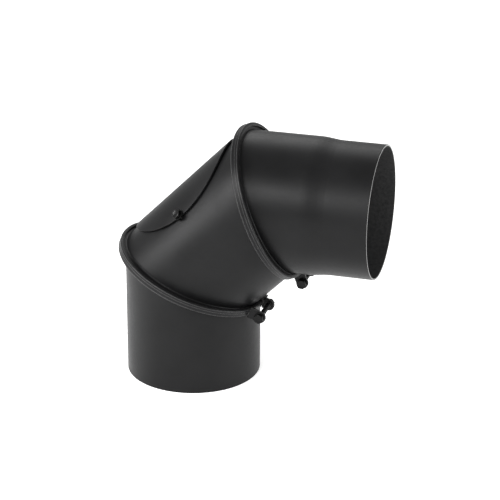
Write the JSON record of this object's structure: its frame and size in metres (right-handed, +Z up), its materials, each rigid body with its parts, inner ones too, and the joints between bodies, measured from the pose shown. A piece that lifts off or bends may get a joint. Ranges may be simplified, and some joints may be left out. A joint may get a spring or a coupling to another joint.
{
  "type": "flue elbow",
  "caption": "Swivelling round steel flue elbow set at a right angle, with clamped slanted joints, a plain socket, a stepped spigot and an oval inspection cover.",
  "frame": {"origin": "centre of the lower socket's mouth, on the bottom edge of the lower pipe", "axes": "+Z up the lower pipe, +X along the upper pipe towards its spigot, bend in plane XZ"},
  "size_m": [0.3003, 0.179, 0.2973],
  "materials": {
    "pipe_enamel": "satin heat-resistant dark grey paint",
    "band_enamel": "satin heat-resistant dark grey paint",
    "fastener_black": "black oxide, slightly oily gloss",
    "seal_fibre": "matte woven graphite fibre"
  },
  "bodies": {
    "lower_pipe": {"lower_segment": "pipe_enamel", "lower_joint_seal": "seal_fibre"},
    "middle_pipe": {"middle_segment": "pipe_enamel", "upper_joint_seal": "seal_fibre", "inspection_cover": "pipe_enamel", "cover_gasket": "seal_fibre", "front_weld_nut": "fastener_black", "rear_weld_nut": "fastener_black"},
    "upper_pipe": {"upper_segment": "pipe_enamel"},
    "lower_clamp": {"lower_clamp_band": "band_enamel", "lower_front_lug": "band_enamel", "lower_rear_lug": "band_enamel", "lower_clamp_nut": "fastener_black"},
    "upper_clamp": {"upper_clamp_band": "band_enamel", "upper_front_lug": "band_enamel", "upper_rear_lug": "band_enamel", "upper_clamp_nut": "fastener_black"},
    "lower_bolt_washer": {"lower_clamp_washer": "fastener_black"},
    "lower_bolt": {"lower_clamp_bolt": "fastener_black"},
    "upper_bolt_washer": {"upper_clamp_washer": "fastener_black"},
    "upper_bolt": {"upper_clamp_bolt": "fastener_black"},
    "front_screw_washer": {"front_cover_washer": "fastener_black"},
    "front_screw": {"front_cover_screw": "fastener_black"},
    "rear_screw_washer": {"rear_cover_washer": "fastener_black"},
    "rear_screw": {"rear_cover_screw": "fastener_black"}
  },
  "joints": [
    {"name": "lower_swivel", "type": "hinge", "parent": "lower_pipe", "child": "middle_pipe", "pos_m": [0, 0, 0.1221], "axis": [0.3827, 0, 0.9239], "continuous": true},
    {"name": "upper_swivel", "type": "hinge", "parent": "middle_pipe", "child": "upper_pipe", "pos_m": [0.09122, 0, 0.21332], "axis": [0.9239, 0, 0.3827], "continuous": true},
    {"name": "lower_clamp_turn", "type": "hinge", "parent": "lower_pipe", "child": "lower_clamp", "pos_m": [0, 0, 0.1221], "axis": [0.3827, 0, 0.9239], "continuous": true},
    {"name": "lower_bolt_travel", "type": "slide", "parent": "lower_clamp", "child": "lower_bolt_washer", "axis": [0, -1, 0], "range_m": [0, 0.009]},
    {"name": "lower_bolt_turn", "type": "hinge", "parent": "lower_bolt_washer", "child": "lower_bolt", "pos_m": [0.08869, -0.036, 0.08536], "axis": [0, -1, 0], "range_deg": [0, 3240]},
    {"name": "upper_clamp_turn", "type": "hinge", "parent": "middle_pipe", "child": "upper_clamp", "pos_m": [0.09122, 0, 0.21332], "axis": [0.9239, 0, 0.3827], "continuous": true},
    {"name": "upper_bolt_travel", "type": "slide", "parent": "upper_clamp", "child": "upper_bolt_washer", "axis": [0, -1, 0], "range_m": [0, 0.009]},
    {"name": "upper_bolt_turn", "type": "hinge", "parent": "upper_bolt_washer", "child": "upper_bolt", "pos_m": [0.12968, -0.006, 0.12047], "axis": [0, -1, 0], "range_deg": [0, 3240]},
    {"name": "front_screw_travel", "type": "slide", "parent": "middle_pipe", "child": "front_screw_washer", "axis": [-0.5155, 0.6845, 0.5155], "range_m": [0, 0.005]},
    {"name": "front_screw_turn", "type": "hinge", "parent": "front_screw_washer", "child": "front_screw", "pos_m": [0.00054, 0.0561, 0.20712], "axis": [-0.5155, 0.6845, 0.5155], "range_deg": [0, 1800]},
    {"name": "rear_screw_travel", "type": "slide", "parent": "middle_pipe", "child": "rear_screw_washer", "axis": [-0.5155, -0.6845, 0.5155], "range_m": [0, 0.005]},
    {"name": "rear_screw_turn", "type": "hinge", "parent": "rear_screw_washer", "child": "rear_screw", "pos_m": [0.00054, -0.0561, 0.20712], "axis": [-0.5155, -0.6845, 0.5155], "range_deg": [0, 1800]}
  ],
  "couplings": [
    {"joint": "lower_bolt_turn", "follows": "lower_bolt_travel", "rad_per_m": 6283.2},
    {"joint": "upper_bolt_turn", "follows": "upper_bolt_travel", "rad_per_m": 6283.2},
    {"joint": "front_screw_turn", "follows": "front_screw_travel", "rad_per_m": 6283.2},
    {"joint": "rear_screw_turn", "follows": "rear_screw_travel", "rad_per_m": 6283.2}
  ]
}
